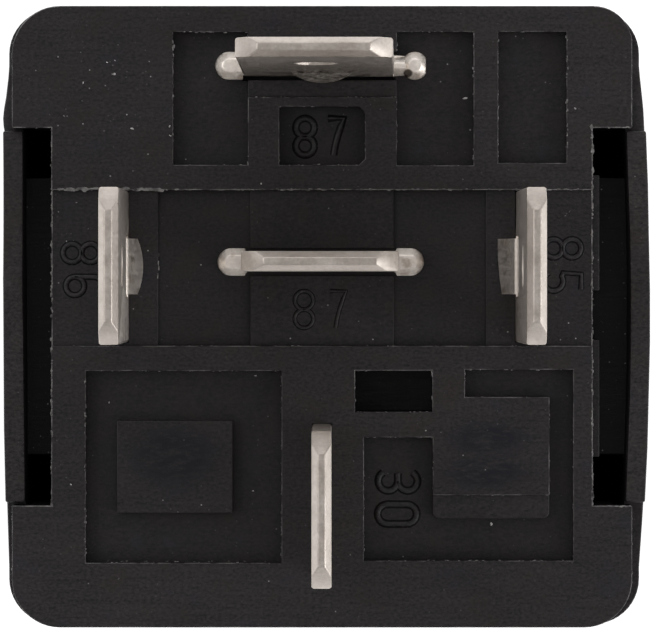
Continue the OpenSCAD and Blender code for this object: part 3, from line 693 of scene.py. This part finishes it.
def swept(sign, radius):
    """The strokes of a digit, swept with a round section and made a mesh."""
    curve = bpy.data.curves.new("strokes", "CURVE")
    curve.dimensions = "3D"
    curve.bevel_depth = radius
    curve.bevel_resolution = 3
    curve.use_fill_caps = True
    for points in digit(sign):
        spline = curve.splines.new("POLY")
        spline.points.add(len(points) - 1)
        for point, (u, v) in zip(spline.points, points):
            point.co = (u * MM, v * MM, 0, 1)
    holder = bpy.data.objects.new("strokes", curve)
    mesh = bpy.data.meshes.new_from_object(holder)
    bpy.data.objects.remove(holder)
    bpy.data.curves.remove(curve)
    return mesh


def raised_numbers(name, radius, flat, material):
    """Raised strokes on the floors of the face, as wide as two radii and flattened by flat."""
    floors = base_floors()
    numbers = bmesh.new()
    for sign, x, y, turn, size, bold in DIGITS:
        strokes = swept(sign, radius * bold)
        strokes.transform(Matrix.Translation(on_base(x, y, floor_below(floors, x, y).z))
                          @ Matrix.Rotation(math.radians(turn), 4, "Z")
                          @ Matrix.Diagonal((size, size, flat, 1)))
        numbers.from_mesh(strokes)
        bpy.data.meshes.remove(strokes)
    add_piece(name, finished(numbers, name, [material]))


# ---- Flash ----

# Bold lines of flash on the base: start, end, width of the crumbs, and how many to a millimetre
BOLD_FLASH = [
    ((-11.0, 5.30), (-6.6, 5.30), 0.18, 9.0), ((-6.6, 5.30), (10.9, 5.30), 0.09, 5.0),
    ((11.26, -7.6), (11.26, -5.3), 0.10, 6.0), ((11.26, -5.2), (11.26, 5.2), 0.09, 6.0),
    ((11.26, 5.3), (11.26, 7.6), 0.13, 6.0),
    ((-11.26, -7.6), (-11.26, -5.3), 0.07, 4.0), ((-11.26, -5.2), (-11.26, 5.2), 0.10, 7.0),
    ((-11.26, 5.3), (-11.26, 7.4), 0.06, 4.0),
    ((-11.26, -7.87), (-11.26, -7.3), 0.10, 12.0), ((11.26, -7.87), (11.26, -7.3), 0.12, 12.0),
    ((11.26, 7.4), (11.26, 7.87), 0.13, 12.0),
    ((11.5, -7.89), (12.9, -7.89), 0.10, 6.0), ((12.6, 7.89), (12.85, 7.89), 0.12, 12.0),
    ((-6.83, 1.5), (-6.83, 3.2), 0.09, 3.0), ((10.0, 4.1), (10.35, 4.4), 0.05, 12.0),
    ((-6.20, 6.6), (-6.20, 11.6), 0.06, 3.0), ((-6.20, 11.0), (-6.20, 11.6), 0.11, 7.0),
    ((7.33, 6.6), (7.33, 11.6), 0.06, 3.0), ((10.22, 6.6), (10.22, 11.6), 0.07, 4.0),
    ((-9.88, -10.1), (-9.88, -2.3), 0.06, 3.0), ((-1.71, -10.1), (-1.71, -2.3), 0.06, 3.5),
    ((-9.8, -10.23), (-1.8, -10.23), 0.06, 3.0),
]
CRUMB_HEIGHT = 0.04     # of a crumb of flash or grit, in millimetres


def lay_crumbs(shape, chance, start, end, width, number):
    """Adds a number of crumbs, about width across, at random places from start to end."""
    along = end - start
    turn = along.to_track_quat("X", "Z").to_matrix().to_4x4()
    for _ in range(number):
        size = Vector((width * chance.uniform(0.6, 2.8), width * chance.uniform(0.4, 0.9),
                       CRUMB_HEIGHT * chance.uniform(0.6, 1.2))) * MM / 2
        side = Vector((chance.uniform(-1, 1), chance.uniform(-1, 1), 0)) * 0.3 * width * MM
        place = Matrix.Translation(start + along * chance.random() + side)
        crumb = bmesh.ops.create_icosphere(
            shape, subdivisions=1, radius=1, matrix=place @ turn @ Matrix.Diagonal((*size, 1)))
        for vert in crumb["verts"]:
            vert.co += Vector([chance.uniform(-0.2, 0.2) * s for s in size])


def flash_crumbs(material):
    """Small torn crumbs of flash: a few along the inner edges of the face, and more on the bold
    lines."""
    shape = bmesh.new()
    chance = random.Random(11)
    base = merged("base")
    ends = blade_ends()
    for edge in sharp_edges(base):
        start, end = [vert.co for vert in edge.verts]
        on_face = min(start.z, end.z) > FACE - 0.01 * MM
        outer = max(abs(start.y), abs(end.y)) > 11.9 * MM
        if on_face and not outer and not in_a_slot(edge, ends):
            lay_crumbs(shape, chance, start, end, chance.uniform(0.035, 0.08),
                       round((end - start).length / MM * chance.uniform(1.0, 3.5)))
    base.free()
    floors = base_floors()
    for from_place, to_place, width, per_length in BOLD_FLASH:
        floor = floor_below(floors, *from_place)
        start, end = on_base(*from_place, floor.z), on_base(*to_place, floor.z)
        number = round((end - start).length / MM * per_length)
        lay_crumbs(shape, chance, start, end, width, number)
    bmesh.ops.recalc_face_normals(shape, faces=shape.faces)
    add_piece("flash_crumbs", finished(shape, "flash_crumbs", [material]))


# Grit that lies on the base, and its size in millimetres
GRIT = [
    (-6.33, 7.95, 0.11), (-6.32, 7.56, 0.11), (-7.87, 7.82, 0.09), (-10.76, 8.35, 0.08),
    (-8.62, 10.65, 0.09), (-8.66, 10.10, 0.12), (-8.95, 10.60, 0.06), (-9.95, 9.77, 0.07),
    (10.55, 8.68, 0.08), (6.01, 9.12, 0.11), (-10.2, 4.75, 0.08), (-2.53, 5.54, 0.09),
    (-10.48, -6.99, 0.11), (7.08, -8.64, 0.10), (-2.78, -2.47, 0.07), (-8.92, -3.57, 0.08),
    (-2.87, -7.28, 0.08), (-0.32, 7.95, 0.07),
]


def scatter_grit(material):
    """Two pale crumbs, close together, for each speck of grit."""
    floors = base_floors()
    shape = bmesh.new()
    chance = random.Random(4)
    for x, y, size in GRIT:
        floor = floor_below(floors, x, y)
        along = Vector((chance.uniform(-1, 1), chance.uniform(-1, 1), 0)) * 0.01 * MM
        lay_crumbs(shape, chance, floor - along, floor + along, size, 2)
    bmesh.ops.recalc_face_normals(shape, faces=shape.faces)
    add_piece("grit", finished(shape, "grit", [material]))


# ---- Inside ----

def wound_coil(material):
    """The winding, spun from a profile with a rib for each turn of its outer layer."""
    low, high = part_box("coil_winding")
    centre = (low + high) / 2
    outer = (high.x - low.x) / 2
    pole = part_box("core")[1].x - centre.x
    inner = pole - 0.5 * MM             # the bobbin's tube is that much narrower than the pole
    turns = 34
    wire = (high.z - low.z) / turns
    rib = [(0.28, 0.06), (0.05, 0.27), (0.0, 0.5), (0.05, 0.73), (0.28, 0.94)]  # depth, rise
    profile = [(inner, low.z)]
    for turn in range(turns):
        for depth, rise in rib:
            profile.append((outer - depth * wire, low.z + (turn + rise) * wire))
    profile.append((inner, high.z))
    shape = bmesh.new()
    verts = [shape.verts.new((centre.x + r, centre.y, z)) for r, z in profile]
    edges = [shape.edges.new(pair) for pair in zip(verts, verts[1:] + verts[:1])]
    bmesh.ops.spin(shape, geom=verts + edges, cent=centre, axis=(0, 0, 1), dvec=(0, 0, 0),
                   angle=math.tau, steps=72, use_merge=True, use_duplicate=False)
    bmesh.ops.remove_doubles(shape, verts=shape.verts, dist=WELD)
    bmesh.ops.recalc_face_normals(shape, faces=shape.faces)
    piece = add_piece("winding", finished(shape, "winding", [material]))
    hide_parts("coil_winding")


def bending_spring(material):
    """The contact spring, made a piece on no body, with its long edges cut in two and its place
    baked into its mesh.
    """
    shape = merged("contact_spring")
    bmesh.ops.subdivide_edges(
        shape, edges=[e for e in shape.edges if e.calc_length() > 1.5 * MM], cuts=1)
    piece = add_piece("leaf_spring", finished(shape, "leaf_spring", [material]),
                      None)
    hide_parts("contact_spring")
    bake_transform(piece)


def give_finish(material, nodes):
    """Gives a material to nodes that are shown as they are."""
    for node in nodes:
        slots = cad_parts[node].data.materials
        slots.clear()
        slots.append(material)


# ---- The scene ----

look_down()
light_the_table()

flange_black = black_plastic("flange_black", (0.0130, 0.0108, 0.0117), (0.0080, 0.0064, 0.0070),
                             smudges=SMUDGES)
# Pale roundings of the base: flash, with a painted highlight.
faint_flash_and_highlight = pale_edge("faint_flash_and_highlight", (0.012, 0.010, 0.011), (0.105, 0.100, 0.100), 0.45, 0.66)
bold_flash_and_highlight = pale_edge("bold_flash_and_highlight", (0.02, 0.018, 0.019), (0.22, 0.212, 0.21), 0.40, 0.62)
cover_black = black_plastic("cover_black", (0.017, 0.0142, 0.0148), (0.0155, 0.0130, 0.0136), 0.3)
number_black = black_plastic("number_black", (0.018, 0.016, 0.017), (0.013, 0.0118, 0.0124), 0)
# A dark rim round each stroke of the numbers: a painted contact shadow.
number_shadow_black = black_plastic("number_shadow_black", (0.0050, 0.0044, 0.0047), (0.0040, 0.0035, 0.0037), 0,
                           specular=0.08)
tin = tinned_brass("tinned_brass", (0.47, 0.425, 0.385), (0.57, 0.52, 0.48), 0)
# Brighter tin for the ears and lances: a painted highlight, with real stains and the painted shade
# of a dent.
highlit_stained_tin = tinned_brass("highlit_stained_tin", (0.80, 0.74, 0.68), (0.92, 0.86, 0.80), 0.5)
copper = enamelled_copper()
iron = plain_metal("zinced_iron", (0.40, 0.41, 0.42), (0.56, 0.57, 0.58), 0.36)
bronze = plain_metal("spring_bronze", (0.60, 0.40, 0.20), (0.72, 0.52, 0.28), 0.26, (0.3, 3, 3))
silver = plain_metal("contact_silver", (0.72, 0.71, 0.68), (0.86, 0.85, 0.82), 0.28)

moulded_base([flange_black, faint_flash_and_highlight, bold_flash_and_highlight])
moulded_cover(cover_black)
for blade in BLADES:
    stamped_blade(blade, [tin, highlit_stained_tin])
raised_numbers("numbers", 0.10 * MM, 0.9, number_black)
# Wider, darker strokes mostly sunk in the floor: the painted contact shadow of the numbers.
raised_numbers("number_contact_shadows", 0.165 * MM, 0.15, number_shadow_black)
flash_crumbs(torn_nylon("flash_nylon", (0.025, 0.023, 0.024), (0.20, 0.192, 0.19)))
scatter_grit(torn_nylon("pale_grit", (0.20, 0.19, 0.19), (0.75, 0.73, 0.72)))
wound_coil(copper)
bending_spring(bronze)

give_finish(tin, ["contact_link", "rest_stop"])
give_finish(bobbin_nylon(), ["bobbin"])
give_finish(copper, ["coil_lead_85", "coil_lead_86"])
give_finish(silver, ["fixed_contact", "moving_contact"])
give_finish(iron, ["core", "yoke", "armature", "armature_rivets", "yoke_rivets",
                   "terminal_30_rivet"])

lay_table(paper_white())

bpy.context.scene.view_settings.view_transform = "Standard"
